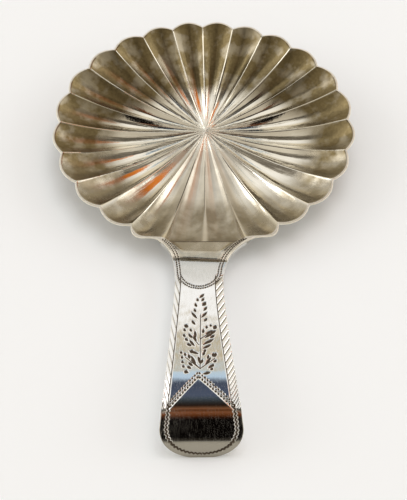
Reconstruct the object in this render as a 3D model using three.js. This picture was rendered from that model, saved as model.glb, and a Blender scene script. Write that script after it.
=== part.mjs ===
// A silver caddy spoon: a round bowl die-stamped with flutes, and a short handle curled
// down at its tip, hard-soldered under a tab that the bowl keeps at its near rim.
// Millimetres. +Y runs from the handle towards the front of the bowl, +X to the right
// and +Z up. The spoon lies as on a table: on the bowl's belly and the handle's tip.
import * as THREE from 'three';

// Bowl
const rimHalfWidth = 21.6; // middle of the rim to the ridge ends at the sides
const rimFront = 19.0; // middle of the rim to the ridge end at the front
const rimBack = 19.8; // middle of the rim to the back of the oval, at the handle
const bowlDepth = 4.5; // rim plane to the point where all ridges meet
const bowlFullness = 2.5; // power of the depth curve: 2 is a parabola, more a flatter floor
const fluteCount = 24;
const fluteHollow = 0.45; // depth of a flute below its two ridges, half way out
const rimRunOut = 6; // power by which that hollow runs out at the rim: more is later
const stopRunOut = 30; // the same where the two near flutes stop
const lobeBulge = 1.1; // each flute's end bulges this far past the line of its ridge ends
const shoulderLobe = 0.9; // share of that bulge left in the lobes beside the handle
const spreadOffset = 1.0; // ridge ends lie at equal angles about a point this far forward
const fanOffset = 2.3; // the ridges meet this far forward of the rim's middle
const fanShift = 0.3; // and this far to the right, as hand work left it
const bowlSheet = 0.45; // upright thickness of the bowl's sheet
const rimLand = 0.3; // flat filed on top of the rim
const rimEdge = 0.16; // upright edge under that flat

// Tab of the bowl, over the heel of the handle
const stopHalfWidth = 5.7; // half the line on which the two flutes at the handle stop
const shoulderLand = 1.05; // width of the flat beside that line and along the tab
const stopLength = 19.5; // middle of the rim to that line
const wallLength = 2.1; // that line to the crest of the near wall
const crestSquareness = 4; // power of the crest's outline: 2 is a parabola, more is squarer
const lapLength = 1.4; // crest of the near wall to the tab's end
const tabSlant = 0.075; // the tab's end runs this far towards the tip per mm to the right
const tabThinning = 0.17; // taken off the tab's upper face towards its end
const flankLength = 1.9; // how quickly the shoulders draw in to the neck

// Handle
const handleSheet = 0.7;
const handleShift = -0.86; // of the handle from the bowl's axis, to the left below 0
const neckHalfWidth = 3.34;
const tipHalfWidth = 5.5;
const neckLength = 3.45; // tab's end to where the handle starts to flare
const flareCurve = 1.25; // power of the flare: 1 is straight sides
const stemLength = 23.35; // tab's end to the start of the curled tip
const stemRise = 11; // degrees that the stem climbs away from the rim plane
const riseRadius = 15; // of the bend that starts the climb
const curlRadius = 5.6; // of the curled tip
const curlTurn = 91; // degrees that the tip turns down
const tipRounding = 4.45; // length of the rounded end, from the widest place
const tipFlat = 1.4; // half width of the straight worn edge that the tip rests on
const edgeStrip = 1.0; // width of the sloped strip along each side
const edgeSlope = 0.14; // drop of that strip towards the edge

// Solder and rest
const solderFilm = 0.1; // space between the tab and the heel
const solderBead = 0.35; // fillet of solder at the end of the heel
const solderMargin = 0.05; // end of the near flutes to that fillet
const faceClearance = 0.01; // between solder and the metal on either side
const wearDepth = 0.15; // metal worn away where the spoon rests

// Fineness of the mesh
const stepsPerFlute = 6;
const bowlRings = 13;
const lapRows = 8;
const stemRows = 10;
const riseRows = 4;
const curlRows = 9;
const roundingRows = 9;
const weldDistance = 1e-5; // points closer than this are one

// Search for the tilt at rest
const steepestTilt = 35; // degrees either way
const tiltSteps = 40;

const radians = THREE.MathUtils.degToRad;
const halfTurn = fluteCount / 2;
const stopLine = -stopLength;
const shoulderHalfWidth = stopHalfWidth + shoulderLand;

// Where ray number k from the spread point, counted clockwise from the front, crosses an
// oval of the rim's width and the given half length.
function rayOnOval(k, halfLength) {
  const angle = (2 * Math.PI * k) / fluteCount;
  const [dx, dy] = [Math.sin(angle), Math.cos(angle)];
  const a = (dx / rimHalfWidth) ** 2 + (dy / halfLength) ** 2;
  const b = (spreadOffset * dy) / halfLength ** 2;
  const c = (spreadOffset / halfLength) ** 2 - 1;
  const reach = (Math.sqrt(b * b - a * c) - b) / a;
  return new THREE.Vector2(reach * dx, spreadOffset + reach * dy);
}

// The rim is half one oval and half another, with the handle's shoulders let in.
function ridgeEnd(k) {
  if (k === halfTurn - 1) return new THREE.Vector2(shoulderHalfWidth, stopLine);
  if (k === halfTurn + 1) return new THREE.Vector2(-shoulderHalfWidth, stopLine);
  const front = rayOnOval(k, rimFront);
  return front.y > 0 ? front : rayOnOval(k, rimBack);
}

const fan = new THREE.Vector2(fanShift, fanOffset);
const tabEnd = stopLine - wallLength - lapLength;
const beadStart = stopLine - solderMargin;
const heelEnd = beadStart - solderBead;

// Half width of the tab and of the heel under it: the shoulders fall to the neck's width.
function flankHalfWidth(y) {
  const drawn = Math.exp((y - stopLine) / flankLength);
  return neckHalfWidth + (shoulderHalfWidth - neckHalfWidth) * drawn;
}

// The tab's middle line runs over from the bowl's axis to the handle's.
function flankShift(y) {
  const drawn = Math.exp((y - stopLine) / flankLength);
  return handleShift * (1 - drawn);
}

// Where the near wall reaches the rim plane, at -1 <= across <= 1 between the edge flats.
function crestLine(across) {
  return stopLine - wallLength * (1 - Math.abs(across) ** crestSquareness);
}

// How far out along the depth curve the near flutes stop, 1 being the rim.
function stopShare(across) {
  return (fanOffset - stopLine) / (fanOffset - crestLine(across));
}

// Height of the ridges' surface, for a share of the way from the fan's middle to the rim.
function ridgeHeight(share) {
  return -bowlDepth * (1 - Math.min(1, share) ** bowlFullness);
}

// Height of the plain tab: the wall climbs to its crest, then the lap runs level.
function tabHeight(across, y) {
  const crest = crestLine(across);
  const climbed = crest < stopLine ? (stopLine - y) / (stopLine - crest) : 1;
  const share = stopShare(across) + (1 - stopShare(across)) * Math.min(1, climbed);
  return ridgeHeight(share);
}

// Lobed outline between ridge ends k and k + 1, at -1 <= t <= 1: side 0 is the outer edge
// of the rim's flat and side 1 its inner edge.
function lobe(k, t, side) {
  const from = landEnd(k, side);
  const to = landEnd(k + 1, side);
  const chord = to.clone().sub(from);
  const outward = new THREE.Vector2(-chord.y, chord.x).normalize();
  const bulge = lobeBulge * (1 - t * t) * lastLobeFade(k, t);
  return from.clone().addScaledVector(chord, (t + 1) / 2).addScaledVector(outward, bulge);
}

// The two lobes beside the handle lose their bulge where they run into the shoulders.
function lastLobeFade(k, t) {
  if (k === halfTurn - 2) return shoulderLobe * (1 - t);
  if (k === halfTurn + 1) return shoulderLobe * (1 + t);
  return 1;
}

// The rim's flat at ridge k, which is wider at the shoulders and runs sideways there.
function landEnd(k, side) {
  const end = ridgeEnd(k);
  if (Math.abs(k - halfTurn) === 1) {
    return new THREE.Vector2(end.x - Math.sign(end.x) * side * shoulderLand, end.y);
  }
  const inward = fan.clone().sub(end).normalize();
  return end.addScaledVector(inward, side * rimLand);
}

// A sample is a point of the upper face and the point of the under face below it.
function sample(x, y, z, thickness) {
  return { top: new THREE.Vector3(x, y, z), under: new THREE.Vector3(x, y, z - thickness) };
}

// The two flutes at the handle end on the straight stop line.
function nearHandle(k) {
  return k === halfTurn - 1 || k === halfTurn;
}

// Place along the stop line, from 1 at its right end to -1 at its left end.
function acrossStop(k, t) {
  return k === halfTurn - 1 ? (1 - t) / 2 : -(1 + t) / 2;
}

// One point of the fluted bowl: ring share s, flute k, place t across the flute. The
// hollow grows with the radius and runs out at the rim, sooner at the stop line.
function bowlSample(s, k, t) {
  const near = nearHandle(k);
  const across = acrossStop(k, t);
  const rim = near ? new THREE.Vector2(stopHalfWidth * across, stopLine) : lobe(k, t, 1);
  const hollow = 2 * fluteHollow * s * (1 - s ** (near ? stopRunOut : rimRunOut)) * (1 - t * t);
  const share = near ? s * stopShare(across) : s;
  const plan = fan.clone().lerp(rim, s);
  return sample(plan.x, plan.y, ridgeHeight(share) - hollow, bowlSheet);
}

// All columns round the bowl as [flute, place across it], the first repeated at the end.
function bowlColumns(firstFlute, lastFlute) {
  const columns = [];
  for (let k = firstFlute; k <= lastFlute; k += 1) {
    for (let i = 0; i < stepsPerFlute; i += 1) columns.push([k, (2 * i) / stepsPerFlute - 1]);
  }
  columns.push([lastFlute, 1]);
  return columns;
}

// The fluted bowl inside the flat of its rim.
function flutedPatch() {
  const columns = bowlColumns(0, fluteCount - 1);
  const rows = [];
  for (let ring = 0; ring <= bowlRings; ring += 1) {
    const s = Math.sin((Math.PI / 2) * (ring / bowlRings));
    rows.push(columns.map(([k, t]) => bowlSample(s, k, t)));
  }
  return rows;
}

// Edge height under the rim's flat: thin, but a full sheet where the shoulders start.
function edgeHeight(k, t) {
  if (k === halfTurn - 2) return rimEdge + ((bowlSheet - rimEdge) * (t + 1)) / 2;
  if (k === halfTurn + 1) return rimEdge + ((bowlSheet - rimEdge) * (1 - t)) / 2;
  return rimEdge;
}

// The flat filed on the rim, from the left shoulder round the front to the right one.
function rimPatch() {
  const columns = bowlColumns(halfTurn + 1 - fluteCount, halfTurn - 2);
  const wrap = (k) => (k + fluteCount) % fluteCount;
  const inner = columns.map(([k, t]) => bowlSample(1, wrap(k), t));
  const outer = columns.map(([k, t]) => {
    const point = lobe(wrap(k), t, 0);
    return sample(point.x, point.y, 0, edgeHeight(wrap(k), t));
  });
  return [inner, outer];
}

// Places across the tab between its edge flats, from 1 on the right to -1 on the left.
function acrossTab() {
  return bowlColumns(halfTurn - 1, halfTurn).map(([k, t]) => acrossStop(k, t));
}

// How far y is on the way from the heel's end to the tab's end, 0 to 1.
function lapShare(y) {
  return THREE.MathUtils.clamp((heelEnd - y) / (heelEnd - tabEnd), 0, 1);
}

// Samples across the tab at y, their upper points sunk below the level of its upper face.
// The rows take on the slant of the tab's end bit by bit.
function tabRow(y, sunk, thickness) {
  const half = flankHalfWidth(y);
  const middle = flankShift(y);
  const place = (aside, z) => sample(
    middle + aside, y - tabSlant * aside * lapShare(y), z - sunk, thickness);
  const inside = acrossTab().map((across) => place(
    across * (half - shoulderLand), tabHeight(across, y)));
  return [place(half, 0), ...inside, place(-half, 0)];
}

// How much the tab's upper face is dressed down at y.
function thinned(y) {
  return tabThinning * THREE.MathUtils.smoothstep(lapShare(y), 0, 1);
}

// Lines across the lap, which the tab, the solder and the heel share.
function lapLines() {
  const step = (tabEnd - heelEnd) / lapRows;
  return Array.from({ length: lapRows + 1 }, (_, row) => heelEnd + step * row);
}

// The tab: plain wall up to its crest, then the lap, dressed thinner towards its end.
function tabPatch() {
  const lines = [stopLine, beadStart, ...lapLines()];
  return lines.map((y) => tabRow(y, thinned(y), bowlSheet - thinned(y)));
}

const rise = radians(stemRise);
const riseLength = rise * riseRadius;
const straightLength = stemLength - riseLength;

// The handle's upper face in side view, at length l from the tab's end: y, z and slope.
function handleLine(l) {
  const bent = THREE.MathUtils.clamp(l, 0, riseLength) / riseRadius;
  const straight = THREE.MathUtils.clamp(l - riseLength, 0, straightLength);
  const turned = Math.max(0, l - stemLength) / curlRadius;
  const run = riseRadius * Math.sin(bent) + straight * Math.cos(rise)
    + curlRadius * (Math.sin(rise) + Math.sin(turned - rise));
  const climb = riseRadius * (1 - Math.cos(bent)) + straight * Math.sin(rise)
    + curlRadius * (Math.cos(turned - rise) - Math.cos(rise));
  return { y: tabEnd - run, z: climb - bowlSheet - solderFilm, slope: bent - turned };
}

const curlLength = curlRadius * radians(curlTurn);
const widestPlace = stemLength + curlLength - tipRounding;
const roundingTurn = Math.acos(tipFlat / tipHalfWidth);

// Half width of the handle at length l: neck, even flare, and a rounded end that is part
// of an oval, cut off where it is as narrow as the tip's straight edge.
function handleHalfWidth(l) {
  const drawn = flankHalfWidth(tabEnd - l) - neckHalfWidth;
  const flared = THREE.MathUtils.clamp((l - neckLength) / (widestPlace - neckLength), 0, 1);
  const straight = neckHalfWidth + drawn + (tipHalfWidth - neckHalfWidth) * flared ** flareCurve;
  const rounded = THREE.MathUtils.clamp((l - widestPlace) / tipRounding, 0, 1);
  return straight * Math.sqrt(1 - (rounded * Math.sin(roundingTurn)) ** 2);
}

// A row across the handle at length l. The strips along both sides slope to the edge, and
// each takes at most half of its side.
function handleRow(l) {
  const { y, z, slope } = handleLine(l);
  const half = handleHalfWidth(l);
  const middle = flankShift(tabEnd - l);
  const strip = Math.min(edgeStrip, half / 2);
  const drop = edgeSlope * (strip / edgeStrip) * THREE.MathUtils.smoothstep(l, 0, neckLength);
  const into = (x, depth) => new THREE.Vector3(
    middle + x, y - depth * Math.sin(slope), z - depth * Math.cos(slope));
  const inside = acrossTab().map((across) => {
    const x = across * (half - strip);
    return { top: into(x, 0), under: into(x, handleSheet) };
  });
  const edge = (side) => ({ top: into(side * half, drop), under: into(side * half, handleSheet) });
  return [edge(1), ...inside, edge(-1)];
}

// The handle: heel under the tab, climbing stem, curled tip.
function handlePatch() {
  const rows = lapLines().map((y) => tabRow(y, bowlSheet + solderFilm, handleSheet));
  for (let row = 1; row < riseRows; row += 1) rows.push(handleRow(riseLength * (row / riseRows)));
  for (let row = 0; row < stemRows; row += 1) {
    rows.push(handleRow(riseLength + straightLength * (row / stemRows)));
  }
  for (let row = 0; row < curlRows; row += 1) {
    rows.push(handleRow(stemLength + (widestPlace - stemLength) * (row / curlRows)));
  }
  for (let row = 0; row <= roundingRows; row += 1) {
    const share = Math.sin(roundingTurn * (row / roundingRows)) / Math.sin(roundingTurn);
    rows.push(handleRow(widestPlace + tipRounding * share));
  }
  return rows;
}

// The solder: a bead against the heel's end, then the film between tab and heel.
function solderPatch() {
  const sunk = bowlSheet + faceClearance;
  const film = solderFilm - 2 * faceClearance;
  const filmLines = [heelEnd + faceClearance, ...lapLines().slice(1)];
  return [
    tabRow(beadStart, sunk, faceClearance),
    tabRow(heelEnd + 2 * faceClearance, sunk, solderFilm + solderBead),
    ...filmLines.map((y) => tabRow(y, sunk, film)),
  ];
}

// All points of some patches, upper and under, tilted about the sideways axis.
function tilted(patches, tilt) {
  const axis = new THREE.Vector3(1, 0, 0);
  const points = patches.flat(2).flatMap(({ top, under }) => [top, under]);
  return points.map((p) => p.clone().applyAxisAngle(axis, tilt));
}

function lowest(points) {
  return Math.min(...points.map((p) => p.z));
}

// The tilt at which the bowl's belly and the handle's tip touch the table together.
function restingTilt(bowl, handle) {
  let [low, high] = [radians(-steepestTilt), radians(steepestTilt)];
  for (let step = 0; step < tiltSteps; step += 1) {
    const tilt = (low + high) / 2;
    if (lowest(tilted(handle, tilt)) > lowest(tilted(bowl, tilt))) low = tilt;
    else high = tilt;
  }
  return (low + high) / 2;
}

const bowlPatches = [flutedPatch(), rimPatch(), tabPatch()];
const handlePatches = [handlePatch()];
const tilt = restingTilt(bowlPatches, handlePatches);
const whole = tilted([...bowlPatches, ...handlePatches], tilt);
const box = new THREE.Box3().setFromPoints(whole);
const boxMiddle = box.getCenter(new THREE.Vector3());
const ground = box.min.z + wearDepth;

// Lays a point on the table, tilted, centred, and worn flat where it would dip below.
function lay(point) {
  const p = point.clone().applyAxisAngle(new THREE.Vector3(1, 0, 0), tilt);
  return p.set(p.x, p.y - boxMiddle.y, Math.max(0, p.z - ground));
}

// Closes patches that meet edge to edge into one plate: upper faces, under faces, and a
// wall wherever an edge has a face on one side only.
function plate(patches) {
  const places = [];
  const numbers = new Map();
  const number = (item) => {
    const values = [...item.top.toArray(), ...item.under.toArray()];
    const key = values.map((v) => Math.round(v / weldDistance)).join();
    if (!numbers.has(key)) numbers.set(key, places.push(item) - 1);
    return numbers.get(key);
  };
  const faces = patches.flatMap((rows) => gridFaces(rows.map((row) => row.map(number))));
  const triangles = faces.flatMap(([a, b, c]) => [
    places[a].top, places[b].top, places[c].top,
    places[a].under, places[c].under, places[b].under,
  ]);
  for (const [a, b] of openEdges(faces)) {
    triangles.push(places[b].top, places[a].top, places[a].under);
    triangles.push(places[b].top, places[a].under, places[b].under);
  }
  return new THREE.BufferGeometry().setFromPoints(dropFlat(triangles));
}

// Two triangles for each cell of a grid of numbers, rows outward and columns clockwise.
function gridFaces(rows) {
  const faces = [];
  for (let r = 0; r + 1 < rows.length; r += 1) {
    for (let c = 0; c + 1 < rows[r].length; c += 1) {
      const [a, b] = [rows[r][c], rows[r + 1][c]];
      const [d, e] = [rows[r][c + 1], rows[r + 1][c + 1]];
      faces.push([a, d, e], [a, e, b]);
    }
  }
  return faces.filter(([a, b, c]) => a !== b && b !== c && c !== a);
}

// Edges that only one face uses, in that face's direction.
function openEdges(faces) {
  const sides = faces.flatMap(([a, b, c]) => [[a, b], [b, c], [c, a]]);
  const known = new Set(sides.map(([a, b]) => `${a},${b}`));
  return sides.filter(([a, b]) => !known.has(`${b},${a}`));
}

// Leaves out triangles with two corners in one place, as where a face comes to nothing.
function dropFlat(points) {
  const kept = [];
  for (let i = 0; i < points.length; i += 3) {
    const [a, b, c] = points.slice(i, i + 3);
    const apart = (p, q) => p.distanceTo(q) > weldDistance;
    if (apart(a, b) && apart(b, c) && apart(c, a)) kept.push(a, b, c);
  }
  return kept;
}

// A named piece of silver, lying as the whole spoon lies.
function piece(name, patches, colour, roughness) {
  const laid = patches.map((patch) => patch.map((row) => row.map(
    ({ top, under }) => ({ top: lay(top), under: lay(under) }))));
  const geometry = plate(laid);
  geometry.computeVertexNormals();
  const material = new THREE.MeshStandardMaterial({ color: colour, metalness: 1, roughness });
  const mesh = new THREE.Mesh(geometry, material);
  mesh.name = name;
  return mesh;
}

const caddySpoon = new THREE.Group();
caddySpoon.add(piece('bowl', bowlPatches, 0xb9ae98, 0.3));
caddySpoon.add(piece('handle', handlePatches, 0xcac6bd, 0.2));
caddySpoon.add(piece('solder_seam', [solderPatch()], 0xa39f96, 0.45));

export default caddySpoon;
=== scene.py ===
import math

import bpy
import numpy as np
from mathutils import Matrix, Vector


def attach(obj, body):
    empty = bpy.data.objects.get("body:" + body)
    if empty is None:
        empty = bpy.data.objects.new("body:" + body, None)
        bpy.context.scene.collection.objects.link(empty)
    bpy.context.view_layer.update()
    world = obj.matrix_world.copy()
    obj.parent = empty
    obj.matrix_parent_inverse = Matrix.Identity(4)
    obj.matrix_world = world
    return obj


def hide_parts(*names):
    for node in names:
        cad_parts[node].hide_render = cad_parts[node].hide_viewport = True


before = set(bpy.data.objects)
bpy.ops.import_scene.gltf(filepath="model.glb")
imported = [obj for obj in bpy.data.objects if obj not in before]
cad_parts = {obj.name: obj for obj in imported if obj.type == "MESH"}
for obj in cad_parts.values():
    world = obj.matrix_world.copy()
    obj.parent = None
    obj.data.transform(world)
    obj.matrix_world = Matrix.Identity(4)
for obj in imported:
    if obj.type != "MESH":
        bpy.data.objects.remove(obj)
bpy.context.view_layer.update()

# A silver caddy spoon: a fluted, die-stamped bowl and a bright-cut handle curled down at
# its tip, hard-soldered under the bowl's tab. All sizes below are millimetres, and the
# surfaces are worked out in the frame of the bowl's rim: z = 0 is the rim's plane, +Y
# points to the bowl's front and the origin is the rim's middle.
MM = 0.001

# Bowl, as in the solids
RIM_HALF_WIDTH = 21.6
RIM_FRONT = 19.0
RIM_BACK = 19.8
BOWL_DEPTH = 4.5
BOWL_FULLNESS = 2.5
FLUTES = 24
FLUTE_HOLLOW = 0.45
RIM_RUN_OUT = 6
STOP_RUN_OUT = 30
LOBE_BULGE = 1.1
SHOULDER_LOBE = 0.9
SPREAD_OFFSET = 1.0
FAN = np.array([0.3, 2.3])
BOWL_SHEET = 0.45
RIM_LAND = 0.3
RIM_EDGE = 0.16

# Tab, as in the solids but with a squarer crest and a thinner end
STOP_HALF_WIDTH = 5.7
SHOULDER_LAND = 1.05
SHOULDER_HALF_WIDTH = STOP_HALF_WIDTH + SHOULDER_LAND
STOP_LINE = -19.5
WALL_LENGTH = 2.1
CREST_SQUARENESS = 12
LAP_LENGTH = 1.4
TAB_SLANT = 0.075
TAB_THINNING = 0.2
FLANK_LENGTH = 1.9
TAB_END = STOP_LINE - WALL_LENGTH - LAP_LENGTH

# Handle, as in the solids
HANDLE_SHEET = 0.7
HANDLE_SHIFT = -0.86
NECK_HALF_WIDTH = 3.34
TIP_HALF_WIDTH = 5.5
NECK_LENGTH = 3.45
FLARE_CURVE = 1.25
STEM_LENGTH = 23.35
CURL_RADIUS = 5.6
CURL_TURN = math.radians(91)
TIP_ROUNDING = 4.45
TIP_FLAT = 1.4
EDGE_SLOPE = 0.14
HANDLE_LENGTH = STEM_LENGTH + CURL_RADIUS * CURL_TURN
WIDEST_PLACE = HANDLE_LENGTH - TIP_ROUNDING
ROUNDING_TURN = math.acos(TIP_FLAT / TIP_HALF_WIDTH)
TIP_OVAL = TIP_ROUNDING / math.sin(ROUNDING_TURN)

# Side line of the handle: slopes in degrees at lengths from the tab's end. The lap already
# rises, and the stem bends gently before the curl, so that they mirror what the real one does.
LAP_START = -21.4
LAP_EASE = 0.3
LAP_SLOPE = math.radians(13.6)
STEM_SLOPE = 11.3
END_SLOPE = -76.57
SIDE_SLOPES = (
    (0, 9), (1.5, STEM_SLOPE), (19.5, STEM_SLOPE), (STEM_LENGTH, STEM_SLOPE - 8),
    (HANDLE_LENGTH, END_SLOPE),
)
SIDE_STEPS = 4000
SWAY = 0.18
SWAY_PLACE = (8, 27)

# Solder and rest, as in the solids
SOLDER_FILM = 0.1
SOLDER_BEAD = 0.35
SOLDER_MARGIN = 0.05
BEAD_FULLNESS = 0.7
FACE_CLEARANCE = 0.01
WEAR_DEPTH = 0.15
HEEL_END = STOP_LINE - SOLDER_MARGIN - SOLDER_BEAD
HANDLE_SINK = BOWL_SHEET + SOLDER_FILM

# Work of the die: rounded ridges that widen near the handle, a low boss where they meet,
# and two waves of faint facets across each flute. A phase is a turn per flute and a start.
CREST_RADIUS = 0.05
RIDGE_FLARE = 5.0
FLARE_REACH = (0.6, 1.0)
FLARE_PLACE = (6, 15)
BOSS_PLACE = (0.4, 0.3)
BOSS_HEIGHT = 0.24
BOSS_RADIUS = 1.0
FACET_HEIGHT = 0.012
FACET_TURNS = 3 * np.pi
FACET_PHASE = 2.3
OVERTONE_TURNS = 1.7 * FACET_TURNS
OVERTONE_PHASE = -1.3
OVERTONE_SHARE = 0.6
FLUTE_VARIATION = 0.14
DEPTH_PHASE = (5.3, 1.0)
FLUTE_LEAN = 0.12
LEAN_PHASE = (3.7, 0.4)

# Hand work: heights of its unevenness, with wave length, seed and count of the waves
UNEVENNESS = 0.02
UNEVEN_WAVES = (5.0, 3, 10)
HAMMER = 0.005
HAMMER_WAVES = (1.7, 5, 16)
WAVE_SPREAD = (0.7, 1.4)
CALM_MIDDLE = 0.2
STEM_UNEVENNESS = 0.2
STEM_WORK_PLACE = 40
STEM_WORK_START = 1
EDGE_ROUNDING = 0.09
EDGE_SOFTNESS = 0.8
CUT_DEPTH = 0.09
SLANT_FADE = 1.5

# Fineness of the surfaces
FLUTE_STEPS = 26
NEAR_FLUTE_STEPS = 52
RINGS = 46
RIDGE_CROWDING = 0.75
RIM_CROWDING = 0.6
LAND_STEPS = 14
LAND_CROWDING = 0.8
TAB_ROWS = 60
HEEL_ROWS = 10
STEM_ROWS = 380
ROUNDING_ROWS = 60
INSIDE_STEPS = 112
STRIP_STEPS = 18
UNDER_STEPS = 14
FILM_ROWS = 10

# Least values that a length is divided by
LEAST_HALF = 1e-4
LEAST_LENGTH = 1e-9

HALF_TURN = FLUTES // 2


def smooth(x, low, high):
    """Runs smoothly from 0 at low to 1 at high."""
    share = np.clip((x - low) / (high - low), 0, 1)
    return share * share * (3 - 2 * share)


def ripple(x, y, wave, seed, count):
    """Uneven surface, about -1 to 1: a sum of sine waves in seeded directions, each about
    one wave long."""
    dice = np.random.default_rng(seed)
    total = np.zeros(np.broadcast(x, y).shape)
    for _ in range(count):
        turn, phase = dice.uniform(0, 2 * np.pi, 2)
        length = wave * dice.uniform(*WAVE_SPREAD)
        total += np.sin((x * np.cos(turn) + y * np.sin(turn)) * 2 * np.pi / length + phase)
    return total / math.sqrt(2 * count)


def hand_work(x, y):
    """Slight unevenness of hand-finished sheet, broad waves and fine hammer marks."""
    broad = UNEVENNESS * ripple(x, y, *UNEVEN_WAVES)
    return broad + HAMMER * ripple(x, y, *HAMMER_WAVES)


def rounded_over(from_edge):
    """How far a filed edge lies below its face: a quarter round of the edge's radius."""
    over = np.clip(1 - from_edge / EDGE_ROUNDING, 0, 1)
    return EDGE_SOFTNESS * EDGE_ROUNDING * (1 - np.sqrt(1 - over ** 2))


def ray_on_oval(k, half_length):
    """Where ray k, clockwise from the front about the spread point, crosses an oval of the
    rim's width and this half length: the root of a quadratic in the ray's length."""
    angle = 2 * np.pi * k / FLUTES
    dx, dy = np.sin(angle), np.cos(angle)
    a = (dx / RIM_HALF_WIDTH) ** 2 + (dy / half_length) ** 2
    b = SPREAD_OFFSET * dy / half_length ** 2
    c = (SPREAD_OFFSET / half_length) ** 2 - 1
    reach = (np.sqrt(b * b - a * c) - b) / a
    return np.stack([reach * dx, SPREAD_OFFSET + reach * dy], -1)


def land_end(k, side):
    """The rim's flat at ridge k: side 0 is its outer edge and side 1 its inner edge. It runs
    in towards the fan's middle, and sideways at the shoulders, where it is wider."""
    k = np.asarray(k) % FLUTES
    front = ray_on_oval(k, RIM_FRONT)
    end = np.where(front[..., 1:] > 0, front, ray_on_oval(k, RIM_BACK))
    inward = FAN - end
    end = end + side * RIM_LAND * inward / np.linalg.norm(inward, axis=-1, keepdims=True)
    way = np.sign(HALF_TURN - k)
    aside = way * (SHOULDER_HALF_WIDTH - side * SHOULDER_LAND)
    shoulder = np.stack([aside, STOP_LINE + 0 * way], -1)
    return np.where((np.abs(k - HALF_TURN) == 1)[..., None], shoulder, end)


def lobe(k, t, side):
    """Outline of flute k at -1 <= t <= 1: the chord between its ridge ends, bulged outward
    by a parabola that fades towards the shoulders."""
    start, end = land_end(k, side), land_end(k + 1, side)
    chord = end - start
    outward = np.stack([-chord[..., 1], chord[..., 0]], -1)
    outward /= np.maximum(np.linalg.norm(outward, axis=-1, keepdims=True), LEAST_LENGTH)
    fade = np.where(k == HALF_TURN - 2, SHOULDER_LOBE * (1 - t), 1.0)
    fade = np.where(k == HALF_TURN + 1, SHOULDER_LOBE * (1 + t), fade)
    bulge = LOBE_BULGE * (1 - t * t) * fade
    return start + chord * ((t + 1) / 2)[..., None] + outward * bulge[..., None]


def near_handle(k):
    """The two flutes at the handle end on the straight stop line."""
    return (k == HALF_TURN - 1) | (k == HALF_TURN)


def across_stop(k, t):
    """Place along the stop line, from 1 at its right end to -1 at its left end."""
    return np.where(k == HALF_TURN - 1, (1 - t) / 2, -(1 + t) / 2)


def crest_line(across):
    """Where the near wall reaches the rim's plane, bowed towards the handle."""
    return STOP_LINE - WALL_LENGTH * (1 - np.abs(across) ** CREST_SQUARENESS)


def stop_share(across):
    """How far out along the depth curve the near flutes stop, 1 being the rim."""
    return (FAN[1] - STOP_LINE) / (FAN[1] - crest_line(across))


def ridge_height(share):
    """Depth curve of the ridges, from the fan's middle to the rim."""
    return -BOWL_DEPTH * (1 - np.minimum(1, share) ** BOWL_FULLNESS)


def lap_rise(y):
    """How far the lap has risen at y: an easy start at the crest, then an even slope."""
    past = np.maximum(0, LAP_START - y)
    eased = np.where(past < LAP_EASE, past ** 2 / (2 * LAP_EASE), past - LAP_EASE / 2)
    return math.tan(LAP_SLOPE) * eased


def tab_height(across, y):
    """The tab's upper face: the near wall climbs to its crest, then the lap rises gently."""
    crest = crest_line(across)
    climb = (STOP_LINE - y) / np.maximum(STOP_LINE - crest, LEAST_LENGTH)
    climb = np.where(crest < STOP_LINE, climb, 1)
    share = stop_share(across) + (1 - stop_share(across)) * np.minimum(1, climb)
    return ridge_height(share) + lap_rise(y)


def by_flute(k, phase):
    """A share from -1 to 1 that differs from flute to flute: the sine of an angle that
    turns on by the same amount from each to the next."""
    return np.sin(phase[0] * k + phase[1])


def ridge_flare(reach, y):
    """How many times wider a ridge is: 1, plus the product of two smooth steps, one
    towards the rim and one towards the handle."""
    return 1 + RIDGE_FLARE * smooth(reach, *FLARE_REACH) * smooth(-y, *FLARE_PLACE)


def facets(k, t):
    """Facets across flute k, as filing leaves them in a die: a sine wave and part of a
    quicker one."""
    overtone = OVERTONE_SHARE * np.sin(OVERTONE_TURNS * t + OVERTONE_PHASE * k)
    return np.sin(FACET_TURNS * t + FACET_PHASE * k) + overtone


def flute_bowl(s, k, t):
    """Top of the bowl at share s of the way out in flute k: plan point between the fan's
    middle and the rim, and height on the depth curve, less a parabolic hollow with faint
    facets that run out at both ends. The ridges are rounded to a small radius, and the boss
    is a bell curve. Returns the points and their distance from a ridge."""
    near = near_handle(k)
    across = across_stop(k, t)
    straight = np.stack([STOP_HALF_WIDTH * across, STOP_LINE + 0 * t], -1)
    rim = np.where(near[..., None], straight, lobe(k, t, 1))
    plan = FAN + (rim - FAN) * s[..., None]
    chord = np.linalg.norm(land_end(k + 1, 1) - land_end(k, 1), axis=-1)
    half = np.maximum(s * np.where(near, STOP_HALF_WIDTH, chord) / 2, LEAST_HALF)
    leaned = t + FLUTE_LEAN * by_flute(k, LEAN_PHASE) * (1 - t * t)
    rounding = CREST_RADIUS * ridge_flare(s, plan[..., 1]) / half
    beside = np.minimum(np.sqrt((1 - np.abs(leaned)) ** 2 + rounding ** 2) - rounding, 1)
    depth = 2 * FLUTE_HOLLOW * (1 + FLUTE_VARIATION * by_flute(k, DEPTH_PHASE))
    run_out = np.where(near, STOP_RUN_OUT, RIM_RUN_OUT)
    hollow = depth * s * (1 - s ** run_out) * beside * (2 - beside)
    hollow = hollow + FACET_HEIGHT * facets(k, leaned) * (1 - leaned ** 2) * 4 * s * (1 - s)
    height = ridge_height(np.where(near, s * stop_share(across), s)) - hollow
    height = height + hand_work(plan[..., 0], plan[..., 1]) * smooth(s, 0, CALM_MIDDLE)
    from_boss = np.linalg.norm(plan - FAN - BOSS_PLACE, axis=-1)
    height = height + BOSS_HEIGHT * np.exp(-(from_boss / BOSS_RADIUS) ** 2)
    return np.concatenate([plan, height[..., None]], -1), (1 - np.abs(leaned)) * half


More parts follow.
